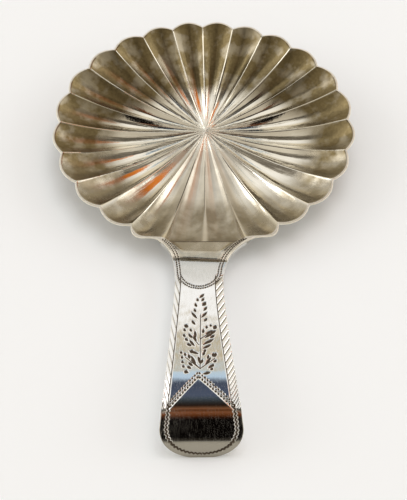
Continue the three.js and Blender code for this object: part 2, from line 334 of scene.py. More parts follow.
def flute_columns(first, last):
    """Columns round the bowl as flute numbers and places across them, crowded towards the
    ridges. The two flutes at the handle have more of them, evenly spread for the tab."""
    flutes, places = [], []
    for k in range(first, last + 1):
        near = k % FLUTES in (HALF_TURN - 1, HALF_TURN)
        steps = NEAR_FLUTE_STEPS if near else FLUTE_STEPS
        even = np.linspace(-1, 1, steps + 1)
        crowded = RIDGE_CROWDING * np.sin(np.pi / 2 * even) + (1 - RIDGE_CROWDING) * even
        flutes.append(np.full(steps, k % FLUTES))
        places.append((even if near else crowded)[:-1])
    flutes.append([last % FLUTES])
    places.append([1.0])
    return np.concatenate(flutes), np.concatenate(places)


def drop_under(top, thickness):
    """The under face of a sheet: the same points, lower by its upright thickness."""
    under = top.copy()
    under[..., 2] -= thickness
    return under


# Sulphide toning of the bowl by the share of the way out and its wear, and painted shade along the
# ridges
TONING_START = 0.47
TONING_FULL = 0.7
WORN_RIDGE = (-0.02, 0.12)
NEAR_TONING = 0.7
NEAR_TONING_PLACE = (0, 14)
LEFT_WEAR = 0.06
RIGHT_WEAR = 0.13
SIDE_WEAR_PLACE = (0, 14)
FRONT_WEAR = 0.17
FRONT_WEAR_PLACE = (2, 9)
# Painted shade beside the ridges: band across from the ridge, reach along it, strength and its
# variation
RIDGE_SHADE_BAND = (0.02, 0.1, 0.2)
RIDGE_SHADE_REACH = (0.16, 0.34, 0.6, 0.9)
RIDGE_SHADE_STRENGTH = 0.55
RIDGE_SHADE_VARIATION = 0.3
RIDGE_SHADE_PHASE = (2.1, 0)

# Satin wear: of the rim's flat, and of the floor on the handle's side of the fan's middle
RIM_SATIN = 1.2
FLOOR_SATIN = 0.9
FLOOR_DULLNESS = 0.38
FLOOR_SATIN_START = (1, 5)
FLOOR_SATIN_SIDE = (3, 8)


def toning(reach, beside, x, y):
    """How toned the silver is: more towards the rim, little on the ridges that cloths
    reach, less towards the handle, sooner at the front and later at the sides."""
    later = RIGHT_WEAR * smooth(x, *SIDE_WEAR_PLACE) + LEFT_WEAR * smooth(-x, *SIDE_WEAR_PLACE)
    later = later - FRONT_WEAR * smooth(y, *FRONT_WEAR_PLACE)
    out = smooth(reach, TONING_START + later, TONING_FULL + later)
    near = 1 - (1 - NEAR_TONING) * smooth(-y, *NEAR_TONING_PLACE)
    return out * smooth(beside / ridge_flare(reach, y), *WORN_RIDGE) * near


def painted_ridge_shade(k, t, reach, beside):
    """Painted shade: a dark fine line beside each ridge, for the shade and dark reflection along it: a
    narrow band along one side of it, strongest half way out, and uneven from ridge to ridge."""
    low, middle, high = RIDGE_SHADE_BAND
    band = smooth(beside, low, middle) * (1 - smooth(beside, middle, high))
    start, full, fading, end = RIDGE_SHADE_REACH
    along = smooth(reach, start, full) * (1 - smooth(reach, fading, end))
    strength = RIDGE_SHADE_STRENGTH + RIDGE_SHADE_VARIATION * by_flute(k, RIDGE_SHADE_PHASE)
    return band * along * (t < 0) * strength


def fluted_patch():
    """Rings of the bowl inside its rim's flat, crowded towards the rim. The floor between
    the fan's middle and the handle is worn to a dull satin."""
    k, t = flute_columns(0, FLUTES - 1)
    even = np.linspace(0, 1, RINGS + 1)[:, None]
    s = (1 - RIM_CROWDING) * even + RIM_CROWDING * np.sin(np.pi / 2 * even)
    s, k, t = np.broadcast_arrays(s, k[None, :], t[None, :])
    top, beside = flute_bowl(s, k, t)
    x, y = top[..., 0], top[..., 1]
    worn = FLOOR_SATIN * smooth(FAN[1] - y, *FLOOR_SATIN_START)
    worn = worn * (1 - smooth(np.abs(x), *FLOOR_SATIN_SIDE))
    toned = np.maximum(toning(s, beside, x, y), FLOOR_DULLNESS * worn)
    # Here the cut field holds the painted shade beside the ridges, which the material darkens like dirt
    fields = {"toning": toned, "satin": worn, "cut": painted_ridge_shade(k, t, s, beside)}
    return top, drop_under(top, BOWL_SHEET), fields


def land_shares():
    """Places across the rim's flat from its inner edge, 1, to its outer edge, 0."""
    return 1 - np.linspace(0, 1, LAND_STEPS + 1) ** LAND_CROWDING


def rim_patch():
    """The rim's flat from the left shoulder round the front to the right one."""
    k, t = flute_columns(HALF_TURN + 1 - FLUTES, HALF_TURN - 2)
    share, k, t = np.broadcast_arrays(land_shares()[:, None], k[None, :], t[None, :])
    inner, outer = lobe(k, t, 1), lobe(k, t, 0)
    plan = outer + (inner - outer) * share[..., None]
    from_edge = share * np.linalg.norm(inner - outer, axis=-1)
    height = hand_work(plan[..., 0], plan[..., 1]) - rounded_over(from_edge)
    top = np.concatenate([plan, height[..., None]], -1)
    right = np.where(k == HALF_TURN - 2, (t + 1) / 2, 0)
    left = np.where(k == HALF_TURN + 1, (1 - t) / 2, 0)
    edge = RIM_EDGE + (BOWL_SHEET - RIM_EDGE) * (right + left)
    thickness = edge + (BOWL_SHEET - edge) * share
    fields = {"toning": 0 * share, "satin": RIM_SATIN + 0 * share, "cut": 0 * share}
    return top, drop_under(top, thickness), fields


def flank_half_width(y):
    """Half width of the tab and the heel: the shoulders fall to the neck exponentially."""
    drawn = np.exp((y - STOP_LINE) / FLANK_LENGTH)
    return NECK_HALF_WIDTH + (SHOULDER_HALF_WIDTH - NECK_HALF_WIDTH) * drawn


def flank_shift(y):
    """The tab's middle line runs over from the bowl's axis to the handle's."""
    return HANDLE_SHIFT * (1 - np.exp((y - STOP_LINE) / FLANK_LENGTH))


def lap_share(y):
    """How far y is on the way from the heel's end to the tab's end, 0 to 1."""
    return np.clip((HEEL_END - y) / (HEEL_END - TAB_END), 0, 1)


def tab_rows(lines):
    """Points across the tab at each y line: the flats along its edges, and the near flutes'
    columns between them. The lines take on the slant of the tab's end. Returns x, slanted
    y, height, distance from the edge, and the straight line's y."""
    across = across_stop(*flute_columns(HALF_TURN - 1, HALF_TURN))
    line = np.asarray(lines)[:, None]
    half, middle = flank_half_width(line), flank_shift(line)
    flat = half - SHOULDER_LAND * land_shares()[::-1][:-1]
    aside = np.concatenate([flat, across * (half - SHOULDER_LAND), -flat[:, ::-1]], 1)
    level = lap_rise(line) + 0 * flat
    height = np.concatenate([level, tab_height(across, line), level], 1)
    y = line - TAB_SLANT * aside * lap_share(line)
    return middle + aside, y, height, half - np.abs(aside), np.broadcast_to(line, aside.shape)


def tab_patch():
    """The tab: plain wall up to its crest, then the lap, which swells just behind the crest
    and is dressed thinner towards its end, with the border's cuts along both edges."""
    x, y, height, from_edge, line = tab_rows(np.linspace(STOP_LINE, TAB_END, TAB_ROWS + 1))
    base = height + hand_work(x, y) - rounded_over(from_edge)
    inside = from_edge > SHOULDER_LAND
    across = np.clip((x - flank_shift(line)) / (flank_half_width(line) - SHOULDER_LAND), -1, 1)
    off_flanks = inside * smooth(1 - np.abs(across), 0, FLANK_FADE)
    past_crest = crest_line(across) - line
    roll = CREST_ROLL * (1 - np.exp(-np.maximum(0, past_crest) / CREST_ROLL_LENGTH)) * off_flanks
    # Painted shade: a dark line along the stop, in the corner where the wall meets the flutes, carried
    # in the cut field
    stop = np.clip(1 - (STOP_LINE - line) / STOP_SHADOW, 0, 1) * off_flanks
    border = border_cuts(x, line)
    thinned = TAB_THINNING * lap_share(line) + END_ROUNDING * smooth(-line, *END_ROUND_PLACE)
    top = np.stack([x, y, base + roll - thinned - CUT_DEPTH * border], -1)
    wall = inside * smooth(-past_crest, 0, CREST_WEAR)
    toned = (LAP_TONING + (WALL_TONING - LAP_TONING) * wall) * inside
    satin = np.where(inside, LAP_SATIN, RIM_SATIN)
    fields = {"toning": toned, "satin": satin, "cut": np.maximum(border, stop)}
    return top, drop_under(np.stack([x, y, base], -1), BOWL_SHEET), fields


def groove(u, l, start, end, width):
    """Depth, 0 to 1, of one graver's cut from start to end: a pointed oval in plan, with a
    V-shaped bottom."""
    middle = (start[0] + end[0]) / 2, (start[1] + end[1]) / 2
    length = math.dist(start, end)
    du, dl = (end[0] - start[0]) / length, (end[1] - start[1]) / length
    along = (u - middle[0]) * du + (l - middle[1]) * dl
    aside = (u - middle[0]) * dl - (l - middle[1]) * du
    return np.clip(1 - (2 * along / length) ** 2 - 2 * np.abs(aside) / width, 0, 1)


def cut_along(u, l, path, pitch, length, width, swing=0.0):
    """A row of small cuts along a path of points, pitch apart, each turned to the path and
    swung to and fro, as a rocked graver leaves them."""
    path = np.asarray(path, float)
    gone = np.concatenate([[0], np.cumsum(np.linalg.norm(np.diff(path, axis=0), axis=1))])
    depth = np.zeros(u.shape)
    for number, place in enumerate(np.arange(pitch / 2, gone[-1], pitch)):
        centre = np.array([np.interp(place, gone, path[:, axis]) for axis in (0, 1)])
        ahead = np.array([np.interp(place + LOOK_AHEAD, gone, path[:, axis]) for axis in (0, 1)])
        turn = math.atan2(*(ahead - centre)) + swing * (-1) ** number
        reach = length / 2 * np.array([math.sin(turn), math.cos(turn)])
        depth = np.maximum(depth, groove(u, l, centre - reach, centre + reach, width))
    return depth


def line_cut(u, l, path, width):
    """Depth, 0 to 1, of an engraved line: a V that follows the path's straight pieces."""
    depth = np.zeros(u.shape)
    for (u0, l0), (u1, l1) in zip(path[:-1], path[1:]):
        du, dl = u1 - u0, l1 - l0
        share = np.clip(((u - u0) * du + (l - l0) * dl) / (du * du + dl * dl), 0, 1)
        gap = np.hypot(u - u0 - share * du, l - l0 - share * dl)
        depth = np.maximum(depth, np.clip(1 - 2 * gap / width, 0, 1))
    return depth


# Double border of small cuts, down the flanks and round the neck in a U: insets, cuts as
# length and width, places, and counts of the points that draw it
BORDER_INSETS = (0.48, 0.86)
BORDER_PITCH = 0.33
BORDER_CUT = (0.3, 0.26)
DOT_FULLNESS = 2.2
BORDER_START = 0.15
U_BOTTOM = 5.25
U_START = 1.9
U_LINE = 0.13
U_LINE_DEPTH = 0.6
FLANK_POINTS = 30
U_FLANK_POINTS = 9
U_POINTS = 40
U_LINE_POINTS = slice(8, -8, 3)
LOOK_AHEAD = 0.05

# Wall, crest and lap of the tab
WALL_TONING = 0.6
LAP_TONING = 0.5
LAP_SATIN = 0.2
CREST_ROLL = 0.035
CREST_ROLL_LENGTH = 0.18
CREST_WEAR = 0.3
FLANK_FADE = 0.15
STOP_SHADOW = 0.24
END_ROUNDING = 0.05
END_ROUND_PLACE = (22.8, 23.0)


def border_cuts(x, y):
    """The border's two rows on the tab, along both flanks."""
    lines = np.linspace(STOP_LINE - BORDER_START, TAB_END, FLANK_POINTS)
    depth = np.zeros(x.shape)
    for inset in BORDER_INSETS:
        for side in (-1, 1):
            edge = flank_shift(lines) + side * (flank_half_width(lines) - inset)
            path = np.stack([edge, lines], -1)
            depth = np.maximum(depth, cut_along(x, y, path, BORDER_PITCH, *BORDER_CUT))
    return np.minimum(1, DOT_FULLNESS * depth)


def neck_border(u, l):
    """The border's two rows on the handle: down both flanks, then half an oval, where the
    cuts run together into a line."""
    depth = np.zeros(u.shape)
    for inset in BORDER_INSETS:
        straight = np.linspace(0, U_START, U_FLANK_POINTS)[:-1]
        flank = handle_half_width(straight) - inset
        turn = np.linspace(0, np.pi, U_POINTS)
        half = handle_half_width(U_START) - inset
        bottom = U_BOTTOM - (inset - BORDER_INSETS[0])
        arc = np.stack([half * np.cos(turn), U_START + (bottom - U_START) * np.sin(turn)], -1)
        right = np.stack([flank, straight], -1)
        left = np.stack([-flank, straight], -1)[::-1]
        path = np.concatenate([right, arc, left])
        dots = DOT_FULLNESS * cut_along(u, l, path, BORDER_PITCH, *BORDER_CUT)
        depth = np.maximum(depth, np.minimum(1, dots))
        depth = np.maximum(depth, U_LINE_DEPTH * line_cut(u, l, arc[U_LINE_POINTS], U_LINE))
    return depth


def handle_line(l):
    """Side view of the handle's upper face at length l from the tab's end: the slope runs
    evenly between the listed ones, and its cosine and sine add up to the place. Returns y,
    z and the slope's angle."""
    lengths, slopes = np.transpose(SIDE_SLOPES)
    fine = np.linspace(0, HANDLE_LENGTH, SIDE_STEPS)
    angle = np.radians(np.interp(fine, lengths, slopes))
    middle, step = (angle[1:] + angle[:-1]) / 2, np.diff(fine)
    run = np.concatenate([[0], np.cumsum(np.cos(middle) * step)])
    climb = np.concatenate([[0], np.cumsum(np.sin(middle) * step)])
    y = TAB_END - np.where(l < 0, l, np.interp(l, fine, run))
    z = np.where(l < 0, 0, lap_rise(TAB_END) + np.interp(l, fine, climb))
    return y, z - HANDLE_SINK, np.where(l < 0, 0, np.interp(l, fine, angle))


def handle_half_width(l):
    """Half width at length l: neck, even flare, and an end that is part of an oval."""
    drawn = flank_half_width(TAB_END - l) - NECK_HALF_WIDTH
    flared = np.clip((l - NECK_LENGTH) / (WIDEST_PLACE - NECK_LENGTH), 0, 1)
    straight = NECK_HALF_WIDTH + drawn + (TIP_HALF_WIDTH - NECK_HALF_WIDTH) * flared ** FLARE_CURVE
    rounded = np.clip((l - WIDEST_PLACE) / TIP_ROUNDING, 0, 1)
    return straight * np.sqrt(1 - (rounded * math.sin(ROUNDING_TURN)) ** 2)


# Feathered edge: slanting facets along both sides of the stem. Pairs are left and right,
# or a start and an end.
STRIP_WIDTH = (0.85, 1.2)
FEATHER_SLANT = (3.3, 1.6)
FEATHER_PITCH = (2.0, 1.25)
FEATHER_START = 3.3
FEATHER_END = 24.6
FEATHER_FADE = 0.8
FEATHER_QUICKENING = (0.02, 0.06)
QUICKENING_START = 16.0
FEATHER_DEPTH = 0.1
STRIP_END = (24.4, 26.0)
FEATHER_NOTCH = 0.06
NOTCH_REACH = 0.3
FACET_SHARE = 0.8
FACET_STEP = (0.55, 1)
FACET_LINE = (0.34, 0.5)
FEATHER_RUN_OUT = (-0.1, 0.35)
STRIP_SOFTNESS = 0.08
BOUNDARY_LINE = 0.17


def feather(l, from_edge, right):
    """Facets of the feathered edge: their steps slant towards the tip as they run in, and
    follow each other more quickly near the curl. Returns facet 0 to 1 and a fade."""
    slant = np.where(right, FEATHER_SLANT[1], FEATHER_SLANT[0])
    pitch = np.where(right, FEATHER_PITCH[1], FEATHER_PITCH[0])
    quickening = np.where(right, FEATHER_QUICKENING[1], FEATHER_QUICKENING[0])
    slanted = l - slant * from_edge
    phase = slanted / pitch + quickening * np.maximum(0, slanted - QUICKENING_START) ** 2
    phase = phase % 1
    facet = np.where(phase < FACET_SHARE, phase / FACET_SHARE, (1 - phase) / (1 - FACET_SHARE))
    start = smooth(l, FEATHER_START - FEATHER_FADE, FEATHER_START)
    facet = np.where(right, 1 - facet, facet)
    return facet, start * (1 - smooth(l, FEATHER_END, FEATHER_END + FEATHER_FADE))


# The sprig: cuts of a graver as (u, l) start and end, u across and l along the handle
SPRIG_PLACE = np.array([0.06, -0.15])
SPRIG_CUTS = (
    ((0.67, 6.43), (-0.07, 7.14)), ((0.65, 7.14), (0.23, 7.73)), ((-0.4, 7.2), (-0.17, 7.73)),
    ((-0.69, 8.03), (-0.36, 8.75)), ((-0.81, 9.03), (-0.48, 9.65)), ((1.05, 8.68), (0.48, 9.46)),
    ((-1.2, 9.56), (-0.28, 10.86)), ((1.06, 9.6), (0.16, 10.67)), ((1.05, 10.77), (0.49, 11.3)),
    ((-1.15, 11.07), (-0.58, 11.88)), ((-2.24, 12.55), (-1.9, 12.98)), ((-2.32, 13.5), (-1.93, 13.94)),
    ((-2.1, 14.2), (-1.56, 14.62)), ((-1.88, 15.1), (-1.1, 15.5)), ((-1.39, 12.5), (-1.09, 13.07)),
    ((-0.72, 12.7), (-0.58, 14.2)), ((0.38, 13.4), (0.48, 12.55)), ((0.86, 12.6), (0.95, 12.0)),
    ((1.4, 12.25), (1.52, 11.8)), ((1.36, 13.5), (2.17, 12.9)), ((1.25, 14.2), (2.0, 13.7)),
    ((0.93, 15.05), (1.54, 14.5)), ((-1.61, 16.25), (-0.15, 16.9)), ((-2.72, 16.4), (-2.42, 16.8)),
    ((-2.17, 16.65), (-1.94, 17.2)), ((-1.63, 16.8), (-1.42, 17.7)), ((-1.0, 17.6), (-0.8, 18.6)),
    ((-2.63, 17.25), (-2.3, 17.6)), ((-2.6, 18.0), (-2.24, 18.35)), ((-2.5, 18.75), (-2.1, 19.1)),
    ((-2.2, 19.6), (-1.6, 20.0)), ((0.36, 16.6), (0.78, 16.1)), ((-0.03, 18.5), (0.33, 17.7)),
    ((0.9, 17.75), (1.08, 17.0)), ((1.55, 17.35), (1.75, 16.65)), ((1.95, 17.25), (2.05, 16.65)),
    ((1.6, 18.25), (2.17, 17.95)), ((1.3, 19.0), (1.8, 18.65)), ((1.2, 19.6), (1.63, 19.2)),
    ((0.2, 20.2), (1.3, 19.95)), ((0.5, 14.2), (1.9, 13.2)), ((0.35, 15.2), (1.9, 14.35)),
    ((0.2, 16.0), (1.5, 15.3)), ((0.65, 13.5), (1.8, 12.9)), ((-0.4, 17.1), (0.0, 18.7)),
    ((-1.35, 17.0), (-0.6, 18.6)), ((0.5, 18.8), (1.45, 17.3)), ((0.25, 17.2), (0.6, 16.4)),
    ((-1.7, 18.2), (-1.0, 18.9)), ((-1.9, 18.9), (-1.2, 19.3)), ((0.9, 19.3), (1.7, 18.6)),
    ((-0.9, 13.6), (-0.5, 14.9)), ((-1.5, 14.4), (-0.7, 15.6)), ((-1.6, 13.3), (-1.1, 14.2)),
)
SPRIG_WIDE_CUTS = (
    ((0.93, 7.9), (0.32, 8.54)), ((-2.17, 11.88), (-1.5, 12.28)), ((1.8, 12.7), (2.25, 12.0)),
    ((-1.5, 16.3), (-0.8, 16.6)), ((1.5, 17.3), (2.2, 16.9)), ((-2.25, 19.65), (-1.7, 19.95)),
)
SPRIG_LINES = (
    ((0.1, 10.1), (-0.1, 19.3)), ((0.37, 15.3), (1.48, 14.8)), ((0.05, 14.3), (1.25, 13.3)),
    ((-0.2, 15.3), (-1.2, 13.7)), ((-0.1, 19.3), (-2.0, 17.4)), ((-0.1, 19.3), (1.9, 17.6)),
    ((-0.1, 19.3), (-1.3, 17.8)),
)
SPRIG_CUT_WIDTH = 0.46
SPRIG_WIDE_WIDTH = 0.68
SPRIG_LINE_WIDTH = 0.17


def sprig_cuts(u, l):
    """The engraved sprig: leaf cuts, broad leaf cuts and the thin lines of its stems."""
    depth = np.zeros(u.shape)
    for cuts, width in ((SPRIG_CUTS, SPRIG_CUT_WIDTH), (SPRIG_WIDE_CUTS, SPRIG_WIDE_WIDTH)):
        for start, end in cuts:
            cut = groove(u, l, start + SPRIG_PLACE, end + SPRIG_PLACE, width)
            depth = np.maximum(depth, np.minimum(1, CUT_FULLNESS * cut))
    for line in SPRIG_LINES:
        depth = np.maximum(depth, line_cut(u, l, np.array(line) + SPRIG_PLACE, SPRIG_LINE_WIDTH))
    return depth


# Double V at the curl, and the wriggled border round the tip
CUT_FULLNESS = 1.8
V_APEX = (-0.3, 19.75)
V_FEET = ((-4.35, 24.6), (4.2, 24.5))
V_ROW_STEP = 0.62
V_CUT = (0.44, 0.3)
V_PITCH = 0.5
V_SWING = 0.3
TIP_BORDER_INSET = 0.92
TIP_CUT = (0.66, 0.28)
TIP_PITCH = 0.27
TIP_SWING = 0.95
BEVEL_WIDTH = 0.34
BEVEL_DEPTH = 0.07
OVAL_POINTS = 30
SIDE_POINTS = 6

# Satin wear and toning of the handle, by length, and painted shade that darkens the curl's end where it
# mirrors the shaded floor
NECK_SATIN = 0.4
SATIN_END = (1.5, 4.5)
TIP_SHADE_PLACE = (28.7, 29.7)
TIP_PAINTED_SHADE = 0.9
NECK_TONING = (3.8, 5.4)
NECK_TONED = 0.3


def curl_cuts(u, l):
    """The double V across the start of the curl, and the border round the tip: straight
    down the sides, then an oval inside the handle's own."""
    depth = np.zeros(u.shape)
    for row in (0, 1):
        for foot in V_FEET:
            path = np.array([V_APEX, foot]) + [0, V_ROW_STEP * row]
            depth = np.maximum(depth, cut_along(u, l, path, V_PITCH, *V_CUT, V_SWING))
    turn = np.linspace(0, np.pi / 2, OVAL_POINTS)
    across = (TIP_HALF_WIDTH - TIP_BORDER_INSET) * np.cos(turn)
    oval = WIDEST_PLACE + (TIP_OVAL - TIP_BORDER_INSET) * np.sin(turn)
    for side, foot in ((-1, V_FEET[0]), (1, V_FEET[1])):
        sides = np.linspace(foot[1], WIDEST_PLACE, SIDE_POINTS)[:-1]
        straight = np.stack([side * (handle_half_width(sides) - TIP_BORDER_INSET), sides], -1)
        path = np.concatenate([straight, np.stack([side * across, oval], -1)])
        depth = np.maximum(depth, cut_along(u, l, path, TIP_PITCH, *TIP_CUT, TIP_SWING))
    return np.minimum(1, CUT_FULLNESS * depth)


def bevel(u, l):
    """Bright bevelled line under the V's lower row: a broad shallow groove along its arms."""
    feet = np.array([V_FEET[0], V_APEX, V_FEET[1]])
    return line_cut(u, l, feet + [0, V_ROW_STEP + BEVEL_WIDTH / 3], BEVEL_WIDTH)


def handle_lengths():
    """Lengths of the rows from the tab's end: below 0 along the heel, then the stem, then
    the rounded end, crowded towards the tip."""
    heel = np.linspace(TAB_END - HEEL_END, 0, HEEL_ROWS + 1)[:-1]
    stem = np.linspace(0, WIDEST_PLACE, STEM_ROWS + 1)[:-1]
    share = np.sin(ROUNDING_TURN * np.linspace(0, 1, ROUNDING_ROWS + 1)) / math.sin(ROUNDING_TURN)
    return np.concatenate([heel, stem, WIDEST_PLACE + TIP_ROUNDING * share])[:, None]


def handle_profile(half, strips):
    """Places across the upper face from right to left: the right strip, the plain field
    and the left strip."""
    outer = np.linspace(1, 0, STRIP_STEPS + 1)[:-1]
    share = np.linspace(1, 0, INSIDE_STEPS + 1)
    left, right = strips
    inner_right, inner_left = half - right, left - half
    field = inner_left + (inner_right - inner_left) * share
    return np.concatenate([inner_right + right * outer, field, inner_left - left * outer[::-1]], 1)


def handle_relief(u, l, half, strips):
    """How far the upper face lies under the plain sheet at (u, l): the sum of the strips'
    slope, the bevel, the facets, the filed edges and the engraving. Returns it with the
    engraving's own depth and the notches in the edge."""
    length = np.broadcast_to(l, u.shape)
    right = u > 0
    strip = np.where(right, strips[1], strips[0])
    from_edge = half - np.abs(u)
    facet, fade = feather(length, from_edge, right)
    in_strip = smooth(strip - from_edge, 0, STRIP_SOFTNESS)
    drop = EDGE_SLOPE * np.clip(1 - from_edge / strip, 0, 1) * smooth(l, 0, NECK_LENGTH)
    drop = drop * (1 - smooth(l, *STRIP_END)) + BEVEL_DEPTH * bevel(u, length)
    drop = drop + in_strip * fade * FEATHER_DEPTH * facet * smooth(from_edge, *FEATHER_RUN_OUT)
    boundary = fade * np.clip(1 - 2 * np.abs(from_edge - strip) / BOUNDARY_LINE, 0, 1)
    line = np.where(right, FACET_LINE[1], FACET_LINE[0])
    step = fade * in_strip * line * smooth(facet, *FACET_STEP) * (from_edge > EDGE_ROUNDING)
    cut = np.maximum(step, boundary)
    for engraved in (sprig_cuts, neck_border, curl_cuts):
        cut = np.maximum(cut, engraved(u, length))
    cut = cut * (l >= 0)
    notch = FEATHER_NOTCH * fade * facet * np.clip(1 - from_edge / NOTCH_REACH, 0, 1)
    return drop + rounded_over(from_edge) + CUT_DEPTH * cut, cut, notch


def handle_surface():
    """The handle as one closed grid: at each length a profile across it, set square to the
    side view's line and lowered by its relief, then the under face. Returns the points and
    the fields of its finish."""
    l = handle_lengths()
    half, middle = handle_half_width(l), flank_shift(TAB_END - l)
    strips = [np.minimum(width, half / 2) for width in STRIP_WIDTH]
    u = handle_profile(half, strips)
    drop, cut, notch = handle_relief(u, l, half, strips)
    under = half * np.linspace(-1, 1, UNDER_STEPS + 1)
    aside = np.concatenate([u - np.sign(u) * notch, under], 1)
    depth = np.concatenate([drop, np.full(under.shape, HANDLE_SHEET)], 1)
    slant = TAB_SLANT * lap_share(TAB_END - l) * (1 - smooth(l, 0, SLANT_FADE))
    y, z, slope = handle_line(l + slant * aside)
    across = np.clip(aside / (half - SHOULDER_LAND), -1, 1)
    z = z + np.where(l < 0, tab_height(across, TAB_END - l), 0)
    x = middle + aside + SWAY * smooth(l, *SWAY_PLACE)
    uneven = STEM_UNEVENNESS * hand_work(x, y + STEM_WORK_PLACE)
    z = z + uneven * smooth(l, 0, STEM_WORK_START)
    points = np.stack([x, y - depth * np.sin(slope), z - depth * np.cos(slope)], -1)
    satin = NECK_SATIN * (1 - smooth(l, *SATIN_END)) + 0 * u
    # The tip's share is painted shade, for the shaded floor that the curl's end mirrors; the neck's
    # share is toning
    toned = TIP_PAINTED_SHADE * smooth(l, *TIP_SHADE_PLACE) + NECK_TONED * (1 - smooth(l, *NECK_TONING)) + 0 * u
    fields = {}
    for name, field in (("cut", cut), ("satin", satin), ("toning", toned)):
        fields[name] = np.concatenate([field, 0 * under], 1).ravel()
    return points, fields


# Search for the tilt at rest, welding grid per millimetre, and the least turn of a sharp edge
TILT_LIMIT = math.radians(35)
HALVINGS = 40
WELD_GRID = 1e4
SHARP_TURN = math.radians(38)


def lay_down(points, rest):
    """Turns points about X by the tilt at rest, centres them and wears off what dips
    below the table."""
    tilt, middle, ground = rest
    y = points[..., 1] * math.cos(tilt) - points[..., 2] * math.sin(tilt)
    z = points[..., 1] * math.sin(tilt) + points[..., 2] * math.cos(tilt)
    return np.stack([points[..., 0], y - middle, np.maximum(0, z - ground)], -1)


def resting(bowl_points, handle_points):
    """Tilt at which bowl and handle touch the table together, found by halving a range,
    with the middle of the length and the table's height after wear."""
    def lowest(points, tilt):
        return (points[:, 1] * math.sin(tilt) + points[:, 2] * math.cos(tilt)).min()
    low, high = -TILT_LIMIT, TILT_LIMIT
    for _ in range(HALVINGS):
        tilt = (low + high) / 2
        if lowest(handle_points, tilt) > lowest(bowl_points, tilt):
            low = tilt
        else:
            high = tilt
    every = np.concatenate([bowl_points, handle_points])
    y = every[:, 1] * math.cos(tilt) - every[:, 2] * math.sin(tilt)
    ground = lowest(bowl_points, tilt) + WEAR_DEPTH
    return tilt, (y.min() + y.max()) / 2, ground


def grid_triangles(numbers, closed=False):
    """Two triangles for each cell of a grid of point numbers, less those that welding has
    drawn together to a line."""
    if closed:
        numbers = np.concatenate([numbers, numbers[:, :1]], 1)
    a, b = numbers[:-1, :-1].ravel(), numbers[1:, :-1].ravel()
    d, e = numbers[:-1, 1:].ravel(), numbers[1:, 1:].ravel()
    faces = np.concatenate([np.stack([a, d, e], -1), np.stack([a, e, b], -1)])
    a, b, c = faces.T
    return faces[(a != b) & (b != c) & (c != a)]


def plate(patches):
    """Closes patches of sheet that meet edge to edge: points in one place are welded, the
    under faces are turned over, and each edge with a face on one side only gets a wall."""
    tops = np.concatenate([top.reshape(-1, 3) for top, _, _ in patches])
    unders = np.concatenate([under.reshape(-1, 3) for _, under, _ in patches])
    keys = np.round(tops * WELD_GRID).astype(np.int64)
    _, first, number = np.unique(keys, axis=0, return_index=True, return_inverse=True)
    number = number.ravel()
    faces, start = [], 0
    for top, _, _ in patches:
        size = top.shape[0] * top.shape[1]
        faces.append(grid_triangles(number[start:start + size].reshape(top.shape[:2])))
        start += size
    faces = np.concatenate(faces)
    count = len(first)
    sides = np.concatenate([faces[:, [0, 1]], faces[:, [1, 2]], faces[:, [2, 0]]])
    forward = sides[:, 0] * count + sides[:, 1]
    backward = sides[:, 1] * count + sides[:, 0]
    a, b = sides[~np.isin(forward, backward)].T
    walls = [np.stack([b, a, a + count], -1), np.stack([b, a + count, b + count], -1)]
    walls = np.concatenate(walls)
    triangles = np.concatenate([faces, faces[:, ::-1] + count, walls])
    values = {}
    for name in patches[0][2]:
        joined = np.concatenate([np.broadcast_to(fields[name], top.shape[:2]).ravel()
                                 for top, _, fields in patches])[first]
        values[name] = np.concatenate([joined, joined])
    return np.concatenate([tops[first], unders[first]]), triangles, values


def make_piece(name, points, triangles, values, caps=()):
    """A mesh object at the origin from point, triangle and attribute arrays. Caps are
    rings of point numbers that close the ends."""
    mesh = bpy.data.meshes.new(name)
    mesh.vertices.add(len(points))
    mesh.vertices.foreach_set("co", (points * MM).astype(np.float32).ravel())
    corners = np.concatenate([triangles.ravel(), *[np.asarray(cap) for cap in caps]])
    sizes = np.concatenate([np.full(len(triangles), 3), [len(cap) for cap in caps]]).astype(int)
    mesh.loops.add(len(corners))
    mesh.loops.foreach_set("vertex_index", corners.astype(np.int32))
    mesh.polygons.add(len(sizes))
    mesh.polygons.foreach_set("loop_start", (np.cumsum(sizes) - sizes).astype(np.int32))
    for key, field in values.items():
        layer = mesh.attributes.new(key, "FLOAT", "POINT")
        layer.data.foreach_set("value", np.asarray(field, np.float32))
    mesh.update(calc_edges=True)
    mesh.validate()
    mesh.polygons.foreach_set("use_smooth", np.ones(len(mesh.polygons), bool))
    mesh.set_sharp_from_angle(angle=SHARP_TURN)
    piece = bpy.data.objects.new(name, mesh)
    bpy.context.scene.collection.objects.link(piece)
    return piece


def solder_patch():
    """Film of solder between tab and heel, with a bead at the heel's end."""
    film = SOLDER_FILM - 2 * FACE_CLEARANCE
    bead = SOLDER_FILM + SOLDER_BEAD
    start = STOP_LINE - SOLDER_MARGIN
    round_share = np.linspace(0, 1, FILM_ROWS)
    bead_lines = start + (HEEL_END + 2 * FACE_CLEARANCE - start) * round_share
    film_lines = HEEL_END + FACE_CLEARANCE + (TAB_END - HEEL_END - FACE_CLEARANCE) * round_share
    x, y, height, _, _ = tab_rows(np.concatenate([bead_lines, film_lines]))
    rounded = FACE_CLEARANCE + (bead - FACE_CLEARANCE) * round_share ** BEAD_FULLNESS
    thickness = np.concatenate([rounded, np.full(FILM_ROWS, film)])[:, None]
    top = np.stack([x, y, height - BOWL_SHEET - FACE_CLEARANCE], -1)
    return top, drop_under(top, thickness), {"cut": 0 * x}


def linear(colour):
    """A linear colour from an sRGB hex value."""
    parts = [int(colour[i:i + 2], 16) / 255 for i in (1, 3, 5)]
    return [c / 12.92 if c <= 0.04045 else ((c + 0.055) / 1.055) ** 2.4 for c in parts] + [1.0]


